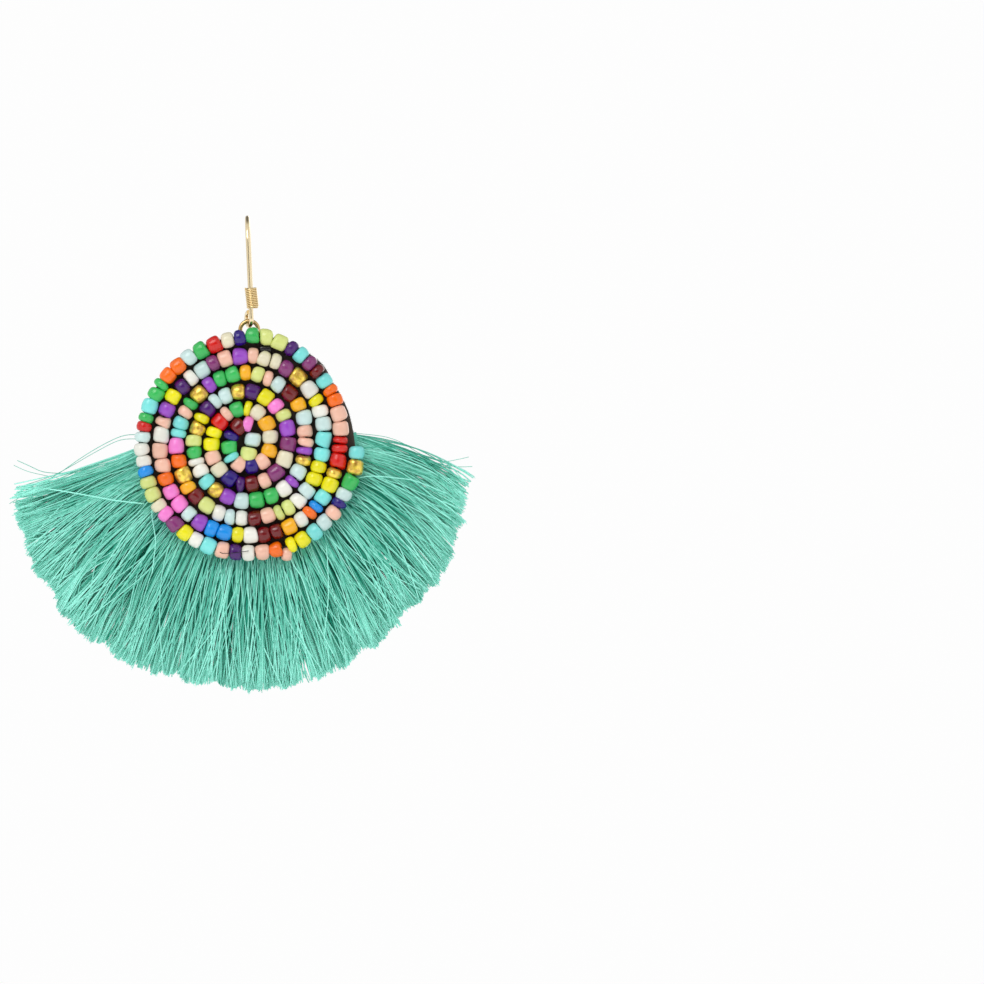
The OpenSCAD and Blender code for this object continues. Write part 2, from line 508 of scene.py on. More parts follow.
def through(marks: Array, count: int) -> Array:
    """Draws a smooth curve through a few points.

    Args:
        marks: The points, in order, with any number of columns.
        count: How many points the curve gets.

    Returns:
        Points along the curve, at even steps between the marks.
    """
    padded = np.concatenate([[2 * marks[0] - marks[1]], marks, [2 * marks[-1] - marks[-2]]])
    at = np.linspace(0, len(marks) - 1, count)
    k = np.minimum(at.astype(int), len(marks) - 2)
    t = (at - k)[:, None]
    a, b, c, d = (padded[k + i] for i in range(4))
    bend, twist = 2 * a - 5 * b + 4 * c - d, 3 * b - a - 3 * c + d
    return 0.5 * (2 * b + (c - a) * t + bend * t ** 2 + twist * t ** 3)


@dataclass(frozen=True)
class Disc:
    """The middle and the depths of the round layers, in millimetres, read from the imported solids."""

    x: float
    z: float
    radius: float
    row_y: float
    felt_front_y: float
    felt_back_y: float
    backing_front_y: float
    backing_back_y: float
    fringe_y: float

    @classmethod
    def from_frame(cls) -> Disc:
        """Returns the disc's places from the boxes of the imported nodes."""
        felt_low, felt_high = (np.array(c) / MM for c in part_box("felt_base"))
        back_low, back_high = (np.array(c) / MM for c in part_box("backing"))
        row_low, row_high = (np.array(c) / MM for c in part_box("bead_spiral"))
        ring_low, ring_high = (np.array(c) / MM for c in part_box("jump_ring"))
        return cls(
            x=(felt_low[0] + felt_high[0]) / 2,
            z=(felt_low[2] + felt_high[2]) / 2,
            radius=(felt_high[2] - felt_low[2]) / 2,
            row_y=(row_low[1] + row_high[1]) / 2,
            felt_front_y=felt_low[1],
            felt_back_y=felt_high[1],
            backing_front_y=back_low[1],
            backing_back_y=back_high[1],
            fringe_y=(ring_low[1] + ring_high[1]) / 2,
        )

    def place(self, radius: Array, angle: Array, y: Array) -> Array:
        """Finds points by their distance from the disc's middle and their clockwise angle.

        Args:
            radius: Distances in millimetres.
            angle: Clockwise angles from the top, in degrees.
            y: Depths in millimetres.

        Returns:
            The points, with X, Y and Z along the last axis.
        """
        a = np.radians(angle)
        return np.stack([self.x + radius * np.sin(a), y + 0 * a, self.z + radius * np.cos(a)], axis=-1)

    def over(self, marks: Table, y: float, count: int) -> Array:
        """Draws a loose thread's curve at one depth.

        Args:
            marks: Its route, as millimetres to the right of and above the disc's middle.
            y: Its depth.
            count: How many points the curve gets.

        Returns:
            The points of the curve.
        """
        flat = through(np.array(marks), count)
        return np.stack([self.x + flat[:, 0], np.full(count, y), self.z + flat[:, 1]], axis=-1)


@dataclass(frozen=True)
class BeadColour:
    """One colour of the mixed seed beads, and how many of it there are in a disc."""

    name: str
    colour: str
    count: int
    kind: GlassKind = GlassKind.OPAQUE


BEAD_COLOURS = (
    BeadColour("white", "#E3E2D8", 17),
    BeadColour("cream", "#DED7BA", 8),
    BeadColour("peach", "#EAB8A2", 21),
    BeadColour("pale_blue", "#C2DBD8", 15),
    BeadColour("turquoise", "#78DAD6", 13),
    BeadColour("bright_blue", "#088CE2", 4),
    BeadColour("navy", "#220474", 5),
    BeadColour("violet", "#9444BE", 8),
    BeadColour("purple", "#420464", 6),
    BeadColour("plum", "#8E387A", 6, GlassKind.CLEAR),
    BeadColour("pink", "#F07ECE", 8),
    BeadColour("red", "#CC1006", 6),
    BeadColour("garnet", "#780810", 8, GlassKind.CLEAR),
    BeadColour("orange", "#F26A04", 9),
    BeadColour("amber", "#F0AC16", 6),
    BeadColour("yellow", "#E6DE0A", 14),
    BeadColour("lime", "#CED880", 10),
    BeadColour("green", "#34B456", 16),
    BeadColour("gold", "#F2C63A", 9, GlassKind.LINED),
)


@dataclass
class BeadDisc:
    """One row of seed beads that winds in over the felt, with the thread that they are strung on.

    A run is an angle along the row from its outer end, which lies at the right.
    """

    disc: Disc
    seed: int = 11
    segments: int = 18
    # The row: level for three quarters of each turn, then a step inwards, and a little wavy
    row_r: float = 17.9
    row_pitch: float = 2.88
    row_turns: float = 5.775
    level_run: float = 270.0
    step_power: float = 1.6
    step_power_loss: float = 0.18
    wobble: float = 0.16
    # How many waves there are in a turn, and where they start
    waves: Table = ((3.0, 60.0), (5.1, 125.0))
    # Where the row is pushed out: over the jump ring, and at its inner end
    ring_rise: float = 0.5
    ring_rise_run: float = 277.0
    ring_rise_width: float = 15.0
    end_rise: float = 0.65
    end_rise_turns: float = 5.63
    end_rise_ease: float = 0.08
    # A usual bead
    bead_d: float = 2.68
    hole_d: float = 0.9
    lip: float = 0.12
    corner: float = 0.68
    corner_bends: int = 6
    corner_share: float = 0.85
    end_wall: float = 0.16
    barrel: float = 0.035
    barrel_side: float = 0.75
    barrel_length: float = 0.35
    mean_length: float = 2.08
    length_spread: float = 0.29
    shortest: float = 1.2
    longest: float = 2.6
    gap: float = 0.06
    # How beads differ from one another
    thin_share: float = 0.08
    thin_longest: float = 1.5
    twin_share: float = 0.1
    corner_range: Span = (0.8, 1.2)
    barrel_range: Span = (0.3, 1.7)
    taper: float = 0.04
    uneven_d: float = 0.022
    oval: float = 0.025
    slant: float = 0.08
    tilt: float = 0.07
    tilt_outwards: float = 0.7
    shift: float = 0.07
    shade_range: Span = (0.92, 1.05)
    # The bead that its neighbours pushed out of the row
    pushed_run: float = 73.5
    pushed_out: float = 1.15
    pushed_deep: float = 0.35
    pushed_turn: float = 0.6
    pushed_length: float = 1.7
    pushed_d: float = 2.3
    pushed_slot: float = 0.75
    # The two that close the middle: colour, distance from it, clockwise angle and length
    closing: tuple[tuple[str, float, float, float], ...] = (
        ("pale_blue", 1.22, 29.0, 2.3), ("lime", 1.27, 183.0, 2.05),
    )
    closing_lean: float = 0.12
    # The small black one between the outer two turns, deeper than its neighbours
    small_colour: str = "#181419"
    small_d: float = 1.5
    small_length: float = 1.8
    small_r: float = 16.5
    small_angle: float = 9.5
    small_sunk: float = 0.15
    # The sewing thread, and its loose stitch by millimetres to the right of and above the middle
    thread_d: float = 0.4
    stitch_d: float = 0.11
    stitch_clear: float = 0.12
    stitch: Table = (
        (-5.0, -17.6), (-4.2, -17.9), (-2.6, -17.8), (-1.1, -17.6), (0.3, -17.4),
    )
    # How far the stitch's first two and last two points dip between the beads
    stitch_dips: tuple[float, ...] = (1.2, 0.4, 0.4, 1.2)
    rng: np.random.Generator = field(init=False)

    def __post_init__(self) -> None:
        """Seeds the chance that all beads draw on in turn."""
        self.rng = np.random.default_rng(self.seed)

    def row_radius(self, run: Array) -> Array:
        """Gives the row's distance from the middle.

        Args:
            run: How far round the row has run, in degrees.

        Returns:
            The distance in millimetres.
        """
        turn = np.floor(run / 360)
        step = np.clip((run - 360 * turn - self.level_run) / (360 - self.level_run), 0, 1)
        power = self.step_power - self.step_power_loss * turn
        level = self.row_r - self.row_pitch * (turn + step ** power)
        swing = sum(np.sin(np.radians(count * run + start)) for count, start in self.waves)
        wobble = self.wobble * swing / len(self.waves)
        rise = self.ring_rise * np.exp(-((run - self.ring_rise_run) / self.ring_rise_width) ** 2)
        end = self.end_rise * smooth((run / 360 - self.end_rise_turns) / self.end_rise_ease)
        return level + wobble + rise + end

    def route(self) -> tuple[Array, Array, Array]:
        """Walks the row in steps of half a degree.

        Returns:
            The run, the point and the length from the outer end, for each step.
        """
        run = np.arange(0, 360 * self.row_turns, 0.5)
        points = self.disc.place(self.row_radius(run), 90 + run, self.disc.row_y)
        steps = np.linalg.norm(np.diff(points, axis=0), axis=1)
        return run, points, np.concatenate([[0], np.cumsum(steps)])

    def profile(self, half: float, radius: float) -> Array:
        """Draws half a bead's section, more or less rounded, barrelled and tapered from bead to bead.

        Args:
            half: Half of the bead's length.
            radius: Its outer radius.

        Returns:
            The closed profile, out over the left end, along the outside and back through the hole.
        """
        hole = self.hole_d / 2
        corner = min(self.corner * self.rng.uniform(*self.corner_range), radius - hole - self.end_wall)
        reach = min(corner, self.corner_share * half)
        barrel = self.barrel * self.rng.uniform(*self.barrel_range)
        bulge = barrel * min(1.0, (half - reach) / self.barrel_length)
        bend = np.radians(np.linspace(0, 90, self.corner_bends))
        left = np.stack([-half + reach * (1 - np.cos(bend)), radius - corner * (1 - np.sin(bend))], axis=1)
        swell = (half - reach) / 2
        sides = ((-swell, self.barrel_side), (0.0, 1.0), (swell, self.barrel_side))
        crown = [[x, radius * (1 + bulge * share)] for x, share in sides]
        start = np.array([[-half + self.lip, hole], [-half, hole + self.lip]])
        section = np.concatenate([start, left, crown, left[::-1] * [-1, 1], start[::-1] * [-1, 1]])
        section[:, 1] *= 1 - bulge / 2 + self.taper * self.rng.normal() * section[:, 0] / half
        return section

    def turned(self, profile: Array) -> Array:
        """Turns a profile round the X axis.

        Args:
            profile: Its points as (along X, radius).

        Returns:
            The rings of points, one after another.
        """
        around = TURN * np.arange(self.segments) / self.segments
        x = np.repeat(profile[:, :1], self.segments, axis=1)
        y, z = profile[:, 1:] * np.cos(around), profile[:, 1:] * np.sin(around)
        return np.stack([x, y, z], axis=-1).reshape(-1, 3)

    def colours(self, count: int) -> list[BeadColour]:
        """Deals the colours along the row.

        Args:
            count: How many beads there are.

        Returns:
            One colour for each bead, with now and then two or three alike in a row.
        """
        pool = [c for c in BEAD_COLOURS for _ in range(c.count)]
        dealt = [pool[i] for i in self.rng.permutation(len(pool))]
        while len(dealt) < count:
            dealt.append(pool[self.rng.integers(len(pool))])
        for i in range(1, count):
            if self.rng.random() < self.twin_share:
                twin = next((j for j in range(i + 1, count) if dealt[j] is dealt[i - 1]), None)
                if twin is not None:
                    dealt[i], dealt[twin] = dealt[twin], dealt[i]
        return dealt[:count]

    def lengths(self, total: float, pushed_at: float) -> tuple[Array, Array, int]:
        """Draws bead lengths that fill the route.

        Args:
            total: The route's length.
            pushed_at: How far along it the pushed bead lies.

        Returns:
            The beads' lengths, the stretch of the row that each takes, and the pushed bead's number.
        """
        count = round(total / (self.mean_length + self.gap))
        drawn = self.rng.normal(self.mean_length, self.length_spread, count)
        thin = self.rng.random(count) < self.thin_share
        drawn = np.where(thin, self.rng.uniform(self.shortest, self.thin_longest, count), drawn)
        drawn = np.clip(drawn, self.shortest, self.longest)
        slots = drawn + self.gap
        pushed = int(np.searchsorted(np.cumsum(slots), pushed_at))
        slots[pushed] = self.pushed_slot
        scale = total / slots.sum()
        return drawn * scale, slots * scale, pushed

    def bead(
        self, piece: Piece, middle: Array, along: Array, length: float, diameter: float,
        colour: str,
    ) -> None:
        """Adds one drilled bead, never quite the same as the next.

        Args:
            piece: The piece that it is joined to.
            middle: Its middle.
            along: The way its hole runs.
            length: Its length.
            diameter: Its outer diameter.
            colour: Its colour.
        """
        rng = self.rng
        profile = self.profile(length / 2, diameter / 2 * rng.normal(1.0, self.uneven_d))
        points = self.turned(profile)
        spin = rng.uniform(0, TURN)
        oval = rng.normal(0, self.oval)
        y, z = points[:, 1] * (1 + oval), points[:, 2] * (1 - oval)
        points[:, 1] = y * math.cos(spin) - z * math.sin(spin)
        points[:, 2] = y * math.sin(spin) + z * math.cos(spin)
        # Each end was cut a little aslant
        for end in (-1, 1):
            slant = rng.normal(0, self.slant, 2)
            share = np.clip(end * points[:, 0] / (length / 2), 0, 1)
            points[:, 0] += share * (points[:, 1:] @ slant)
        tilt = rng.normal(0, self.tilt, 2)
        axis = unit(along + tilt[0] * np.cross(along, FRONT) + tilt[1] * self.tilt_outwards * FRONT)
        out = unit(FRONT - (axis @ FRONT) * axis)
        basis = np.stack([axis, np.cross(out, axis), out])
        shift = rng.normal(0, self.shift) * basis[1]
        shade = np.array(linear(colour)) * np.append(np.full(3, rng.uniform(*self.shade_range)), 1.0)
        tint = np.tile(np.minimum(shade, 1.0), (len(points), 1))
        quads = ring_quads(len(profile), self.segments, closed=True)[:, ::-1]
        piece.add(points @ basis + middle + shift, quads, tint=tint)

    def placed_by_hand(self, pieces: dict[GlassKind, Piece]) -> None:
        """Adds the two beads that close the middle, and the small black one near the top.

        Args:
            pieces: The pieces that they are joined to.
        """
        upright = unit(np.array([-self.closing_lean, 0.0, -1.0]))
        for name, radius, angle, length in self.closing:
            chosen = next(c for c in BEAD_COLOURS if c.name == name)
            middle = self.disc.place(np.array(radius), np.array(angle), self.disc.row_y)
            self.bead(pieces[chosen.kind], middle, upright, length, self.bead_d, chosen.colour)
        depth = self.disc.felt_front_y - self.small_d / 2 + self.small_sunk
        middle = self.disc.place(np.array(self.small_r), np.array(self.small_angle), depth)
        self.bead(pieces[GlassKind.OPAQUE], middle, np.array([1.0, 0.0, 0.0]), self.small_length,
                  self.small_d, self.small_colour)

    def threads(self, route: Array) -> None:
        """Runs the black stringing thread through the beads, and a loose stitch over two of them.

        Args:
            route: The points of the row.
        """
        finish = TwistedThread("black_sewing_thread", "#151213", "#2A2625", 0.6).material()
        piece = Piece("bead_string", Body.DROP, "black_felt", finish)
        stitch = self.disc.over(self.stitch, self.disc.row_y - self.bead_d / 2 - self.stitch_clear, 24)
        stitch[[0, 1, -2, -1], 1] += self.stitch_dips
        for path, diameter, sides in ((route[::6], self.thread_d, 6), (stitch, self.stitch_d, 5)):
            points, quads, tris = sweep(path[None], np.full((1, len(path)), diameter / 2), sides)
            piece.add(points, quads, tris, tone=np.full(len(points), 0.5), ply_mm=np.zeros(len(points)))
        piece.build()

    def build(self) -> None:
        """Strings the beads and sews the row down."""
        run, route, reached = self.route()
        pushed_at = float(np.interp(self.pushed_run, run, reached))
        lengths, slots, pushed = self.lengths(reached[-1], pushed_at)
        colours = self.colours(len(lengths))
        glasses = {
            GlassKind.OPAQUE: SeedBeadGlass(GlassKind.OPAQUE, 0.22),
            GlassKind.CLEAR: SeedBeadGlass(GlassKind.CLEAR, 0.1, transmission=0.25),
            GlassKind.LINED: SilverLinedGlass(),
        }
        pieces = {kind: Piece(f"seed_beads_{kind.value}", Body.DROP, "seed_beads", glass.material())
                  for kind, glass in glasses.items()}
        middles = np.cumsum(slots) - slots / 2
        for i, (at, length, colour) in enumerate(zip(middles, lengths, colours)):
            start, end = (np.array([np.interp(s, reached, axis) for axis in route.T])
                          for s in (at - length / 2, at + length / 2))
            middle, along = (start + end) / 2, unit(end - start)
            diameter = self.bead_d
            if i == pushed:
                outward = np.cross(FRONT, along)
                middle = middle + self.pushed_out * outward - self.pushed_deep * FRONT
                along = unit(along - self.pushed_turn * outward)
                length, diameter = self.pushed_length, self.pushed_d
            self.bead(pieces[colour.kind], middle, along, length, diameter, colour.colour)
        self.placed_by_hand(pieces)
        for piece in pieces.values():
            piece.build("bead_spiral")
        self.threads(route)


@dataclass(frozen=True)
class Parting:
    """A place where the threads of the fringe lie apart.

    It lies at a clockwise angle in degrees and some way along the threads, and opens by a width in
    degrees and over a reach along them. A share of it goes through to the back.
    """

    angle: float
    way: float
    width: float
    reach: float
    through: float = 0.25
    blend: float = 2.2
    front_edge: float = 0.2
    back_edge: float = 0.5

    def push(self, off: Array, way: Array, front: bool) -> tuple[Array, Array]:
        """Tells how far threads go aside.

        Args:
            off: How far round from the parting's middle each thread lies, in degrees.
            way: The way along the threads, from 0 to 1.
            front: Whether they lie on the front of the fringe.

        Returns:
            How far round each point goes, in degrees, and how open the fringe is there, from 0 to 1.
        """
        near = np.exp(-((way - self.way) / self.reach) ** 2)
        near = near * np.exp(-(off / (self.blend * self.width)) ** 2)
        if front:
            return self.width * np.tanh(off / self.front_edge) * near, near
        # Those further back spread thinly over the opening
        edge = self.back_edge + (self.front_edge - self.back_edge) * self.through
        return self.width * self.through * np.tanh(off / edge) * near, near


@dataclass(frozen=True)
class ThreadLayer:
    """One depth of the fringe, and how its threads gather in locks there.

    Depth and spread are shares of the fringe's half thickness, and a depth of -1 is the very front.
    Pull is how tightly a lock gathers. Stray is in degrees, and bow, uneven and short are in millimetres.
    """

    name: str
    threads: int
    locks: int
    depth: float
    spread: float
    pull: float
    stray: float
    bow: float
    uneven: float
    short: float
    # Tone: share from the shade to the light colour; the middle and back layers are set darker than the
    # front as painted shade
    tone: float
    front: bool = False


@dataclass(frozen=True)
class LockHabit:
    """How the locks and the threads of the fringe differ from one another.

    Spreads and ranges of chance are in degrees for strays and otherwise in millimetres or shares.
    """

    # How unevenly the locks divide, and how far threads stray into the next
    edge_shift: float = 0.42
    mingling: float = 0.12
    # Now and then a whole lock strays much further
    wild_share: float = 0.1
    wild_times: float = 2.2
    # How far along and how tightly a lock gathers, and where it is slack
    pinch_from: float = 0.04
    pinch: Span = (0.3, 0.6)
    pull: Span = (0.75, 1.12)
    tightest: float = 0.95
    tip_slack: float = 0.5
    end_slack: float = 0.75
    # How unevenly tips are cut, and how far they stray round
    trim: float = 0.12
    slant: float = 0.5
    stray: float = 0.5
    # How a lock's threads wind round its middle, and how deep it lies
    wind: float = 0.9
    widest_wind: float = 1.2
    flattening: float = 0.35
    level: float = 0.16
    # How single threads bend, more so near the ends of the tape
    end_bow: float = 0.5
    bow_power: float = 1.2
    curl: float = 0.17
    end_curl: float = 0.2
    # How tones differ, as shares of the way from the shade to the light colour: at random by band, lock and
    # thread, lighter near the tape's ends, and lighter at the tips and in openings as painted light
    bands: int = 34
    band_tone: float = 0.1
    lock_tone: float = 0.12
    thread_tone: float = 0.2
    end_tone: float = 0.32
    tip_painted_light: float = 0.62
    open_tone: float = 0.35


@dataclass
class Fringe:
    """Teal threads that fan out from the tape between the round layers.

    Angles are clockwise from the top. Places along the tape go from 0 at the right to 1 at the left,
    and the way along a thread from 0 at its root to 1 at its tip.
    """

    disc: Disc
    seed: int = 5
    root_r: float = 16.2
    root_from: float = 82.5
    root_to: float = 273.0
    tip_from: float = 98.0
    tip_to: float = 258.0
    reach: float = 41.15
    thread_d: float = 0.21
    thread_d_range: Span = (0.75, 1.15)
    rings: int = 13
    # Where the tip zone begins along the threads; the locks slacken there and the threads are lightened as
    # painted light
    tip_zone_from: float = 0.6
    # Half of its thickness at the tape, and further down
    root_depth: float = 0.42
    mid_depth: float = 1.3
    # The way along where it begins to thicken, and over how long a way it does
    growth: Span = (0.08, 0.5)
    # The scissors' snips along the hem, and how uneven they are
    snips: int = 80
    jag: float = 0.6
    # Threads leave the tape in teeth, as it was woven, and squarely
    teeth: int = 150
    tooth_pull: float = 0.5
    knee: float = 0.32
    # The outermost threads droop from the start: which share of them, and how much
    left_share: float = 0.14
    left_droop: float = 1.2
    right_share: float = 0.12
    right_droop: float = 0.45
    drooped_knee: float = 0.27
    # Those near the two ends of the tape lie more loosely
    loose_share: float = 0.1
    loose_ease: float = 0.08
    # Single threads that cross the others
    crossing: int = 620
    crossing_d: float = 0.19
    crossing_stray: float = 4.3
    crossing_short: float = 1.8
    crossing_bow: float = 1.1
    crossing_lift: float = 1.1
    crossing_front: float = 0.7
    crossing_roots: Span = (0.05, 0.97)
    crossing_growth: Span = (0.03, 0.35)
    crossing_tone: Span = (0.15, 0.9)
    crossing_tone_power: float = 1.4
    # How much their tips are lightened, as painted light
    crossing_tip_painted_light: float = 0.25
    # Frayed ends
    frayed_share: float = 0.2
    fibres: int = 2
    fibre_radii: tuple[float, float, float] = (0.06, 0.05, 0.03)
    fibre_length: Span = (0.25, 0.6)
    fibre_turn: float = 0.17
    fibre_lift: float = 0.12
    fibre_bend: float = 0.12
    fibre_root: float = 0.15
    # How much lighter the fibres are than their thread's tip, as painted light
    fibre_painted_light: float = 0.3
    # Loose threads: those that stand clear of the fringe, and those that cross it
    stray_rings: int = 26
    clear_d: float = 0.13
    clear_depth: float = 0.4
    clear_tone: float = 0.4
    crossed_d: float = 0.22
    crossed_depth: float = -2.1
    # The head tape
    tape_r: float = 14.6
    tape_outer_r: float = 18.0
    tape_half: float = 0.4
    tape_columns: int = 150
    tape_weave: float = 0.04
    tape_pitch: float = 0.45
    tape_tone: float = 0.3
    habit: LockHabit = LockHabit()
    # The middle and back layers have a lower tone than the front: painted shade on the deeper threads
    layers: tuple[ThreadLayer, ...] = (
        ThreadLayer("fringe_back", threads=1100, locks=150, depth=0.3, spread=0.55, pull=0.1, stray=0.3,
                    bow=0.08, uneven=0.2, short=0.5, tone=0.15),
        ThreadLayer("fringe_middle", threads=1650, locks=90, depth=-0.45, spread=0.22, pull=0.2, stray=0.6,
                    bow=0.25, uneven=0.4, short=0.2, tone=0.1),
        ThreadLayer("fringe_front", threads=1150, locks=66, depth=-0.7, spread=0.2, pull=0.77, stray=2.0,
                    bow=0.6, uneven=0.45, short=0.0, tone=0.25, front=True),
    )
    # Clockwise angle of the tip, and its reach as a share of the usual one
    hem: Table = (
        (98, 0.94), (101, 0.91), (110, 0.93), (123, 0.95), (139, 0.955), (154, 0.975), (166, 1.005),
        (179, 0.995), (192, 1.0), (210, 1.015), (228, 1.035), (234, 1.005), (240, 1.03), (247, 1.0),
        (260, 1.0),
    )
    # Place along the tape, and how densely it is sewn there
    density: Table = (
        (0.0, 0.35), (0.05, 0.5), (0.14, 0.85), (0.2, 1.0), (0.96, 1.0), (0.985, 0.8), (1.0, 0.7),
    )
    partings: tuple[Parting, ...] = (
        Parting(angle=166.2, way=1.02, width=1.9, reach=0.25, through=0.95),
        Parting(angle=234.2, way=0.62, width=1.8, reach=0.2),
        Parting(angle=230.5, way=0.8, width=1.2, reach=0.14),
        Parting(angle=217.6, way=0.8, width=1.7, reach=0.18),
        Parting(angle=102.1, way=0.4, width=1.0, reach=0.14),
        Parting(angle=102.5, way=0.72, width=1.2, reach=0.14),
    )
    # The plainest loose threads, by millimetres to the right of and above the disc's middle
    clear: tuple[Table, ...] = (
        ((-17.5, 1.9), (-20.7, 1.8), (-23.7, 0.6), (-27.5, -1.6), (-31.4, -4.3), (-34.0, -5.9),
         (-40.0, -9.6)),
        ((-17.5, 1.2), (-21.5, 1.0), (-25.5, -0.9), (-29.5, -3.2), (-33.0, -5.0), (-38.9, -7.0)),
        ((-21.0, -3.8), (-26.0, -4.2), (-30.2, -4.5), (-32.6, -4.5), (-34.7, -4.2), (-36.7, -3.3),
         (-38.7, -2.4)),
        ((-21.0, -4.6), (-28.7, -5.9), (-31.1, -5.5), (-34.1, -4.9), (-37.0, -4.2), (-39.3, -3.2)),
        ((17.0, 2.2), (20.3, 1.9), (22.9, 1.5), (25.4, 0.6), (28.8, -1.4), (32.4, -2.5), (34.8, -2.2),
         (36.6, -1.8)),
        ((17.0, 1.6), (20.8, 1.3), (24.0, 0.3), (27.4, -1.0), (31.0, -2.9), (35.0, -4.2)),
        ((22.0, -0.2), (27.0, -1.5), (30.5, -2.8), (33.6, -3.3), (35.4, -3.45), (37.2, -3.4)),
    )
    crossed: tuple[Table, ...] = (
        ((-15.4, -9.0), (-16.2, -11.0), (-15.9, -13.5), (-15.6, -15.9), (-15.9, -18.9), (-16.2, -21.3)),
        ((-35.3, -6.9), (-31.7, -7.4), (-28.1, -8.0), (-24.8, -8.6), (-21.9, -9.1), (-17.5, -9.6)),
        ((17.0, -5.6), (18.6, -5.2), (21.0, -5.0), (25.4, -5.4), (28.0, -5.9), (33.0, -7.9)),
        ((12.6, -15.0), (13.0, -18.3), (13.2, -22.8), (13.1, -26.3), (12.5, -31.7)),
        ((6.0, -16.0), (7.2, -19.4), (8.8, -22.0), (10.2, -26.3), (11.5, -29.8), (14.2, -35.0)),
    )
    rng: np.random.Generator = field(init=False)
    way: Array = field(init=False)
    tip_zone: Array = field(init=False)

    def __post_init__(self) -> None:
        """Seeds the chance that all threads draw on in turn, and sets the way along a thread."""
        self.rng = np.random.default_rng(self.seed)
        self.way = np.linspace(0, 1, self.rings)[None, :]
        # How far each ring lies into the tip zone, where the locks slacken and the threads are lightened as
        # painted light
        self.tip_zone = smooth((self.way - self.tip_zone_from) / (1 - self.tip_zone_from))

    def along_tape(self, share: Array) -> Array:
        """Spaces places along the tape as densely as it is sewn.

        Args:
            share: Even places, from 0 at the right to 1 at the left.

        Returns:
            The places along the tape, from 0 to 1.
        """
        table = np.array(self.density)
        fine = np.linspace(0, 1, 401)
        filled = np.cumsum(np.interp(fine, table[:, 0], table[:, 1]))
        return np.interp(share, (filled - filled[0]) / (filled[-1] - filled[0]), fine)

    def half_depth(self, start: float, run: float, lift: float = 1.0) -> Array:
        """Gives half of the fringe's thickness along the threads.

        Args:
            start: The way along where it begins to grow.
            run: Over how long a way it grows.
            lift: How many times the usual half thickness it reaches.

        Returns:
            The half thickness at each ring.
        """
        grown = smooth((self.way - start) / run)
        return self.root_depth + (self.mid_depth * lift - self.root_depth) * grown

    def lines(self, across: Array, tip_shift: Array, trim: Array) -> Array:
        """Draws each thread's own line in the plane of the disc.

        Args:
            across: The place of each root along the tape.
            tip_shift: How far round each tip strays, in degrees.
            trim: How far each tip falls short of the hem, in millimetres.

        Returns:
            The points, threads by rings by 3.
        """
        table = np.array(self.hem)
        tooth = np.round(across * self.teeth) / self.teeth
        near = tooth + self.tooth_pull * (across - tooth)
        root = self.root_from + (self.root_to - self.root_from) * near
        tip = self.tip_from + (self.tip_to - self.tip_from) * across + tip_shift
        snips = np.abs(np.random.default_rng(self.seed + 2).normal(0, self.jag, self.snips))
        trim = trim + np.interp(tip, np.linspace(self.tip_from, self.tip_to, self.snips), snips)
        ends = self.reach * np.interp(tip, table[:, 0], table[:, 1]) - trim
        left = smooth((across - 1 + self.left_share) / self.left_share)
        right = smooth((self.right_share - across) / self.right_share)
        droop = self.left_droop * left + self.right_droop * right
        bend = self.knee + self.drooped_knee * (left + right)
        start = self.disc.place(np.full_like(root, self.root_r), root, 0)[:, None]
        knee = self.disc.place(self.root_r + bend * (ends - self.root_r), root + droop * (tip - root), 0)
        end = self.disc.place(ends, tip, 0)[:, None]
        w = self.way[..., None]
        return (1 - w) ** 2 * start + 2 * w * (1 - w) * knee[:, None] + w ** 2 * end

    def parted(self, lines: Array, front: bool) -> tuple[Array, Array]:
        """Pushes threads aside where the fringe lies open.

        Args:
            lines: The threads' points.
            front: Whether they lie on the front of the fringe.

        Returns:
            The moved points, and how open the fringe is at each, from 0 to 1.
        """
        x, z = lines[..., 0] - self.disc.x, lines[..., 2] - self.disc.z
        angle = np.degrees(np.arctan2(x, z)) % 360
        opened = np.zeros_like(angle)
        for parting in self.partings:
            # A thread goes to the side where it lies at the middle of the parting
            at = round(min(parting.way, 1.0) * (self.rings - 1))
            aside, near = parting.push(angle[:, at:at + 1] - parting.angle, self.way, front)
            angle = angle + aside
            opened = np.maximum(opened, near)
        return self.disc.place(np.hypot(x, z), angle, lines[..., 1]), opened

    def gathered(self, share: Array, locks: int) -> tuple[Array, Array]:
        """Shares threads out among locks of uneven width.

        Args:
            share: Each thread's place among all, from 0 to 1.
            locks: How many locks there are.

        Returns:
            Each thread's lock, and each lock's middle place.
        """
        shift = self.rng.uniform(-self.habit.edge_shift, self.habit.edge_shift, locks - 1)
        edges = np.sort((np.arange(1, locks) + shift) / locks)
        mingled = share + self.rng.normal(0, self.habit.mingling / locks, len(share))
        bounds = np.concatenate([[0], edges, [1]])
        return np.searchsorted(edges, mingled), (bounds[:-1] + bounds[1:]) / 2

    def fan(self, layer: ThreadLayer) -> tuple[Array, Array]:
        """Lays the threads of one layer.

        Args:
            layer: The layer.

        Returns:
            The threads' paths, and their tones point by point.
        """
        rng, habit, way = self.rng, self.habit, self.way
        count, locks = layer.threads, layer.locks
        share = np.clip((np.arange(count) + rng.uniform(-0.5, 1.5, count)) / count, 0, 1)
        lock, middles = self.gathered(share, locks)
        wild = rng.normal(0, layer.stray, locks)
        stray = (wild * np.where(rng.random(locks) < habit.wild_share, habit.wild_times, 1.0))[lock]
        pinch = rng.uniform(*habit.pinch, locks)
        tight = np.clip(layer.pull * rng.uniform(*habit.pull, locks), 0, habit.tightest)
        trim = np.abs(rng.normal(0, habit.trim, count))
        trim = trim + np.abs(rng.normal(0, layer.uneven, locks))[lock] + layer.short
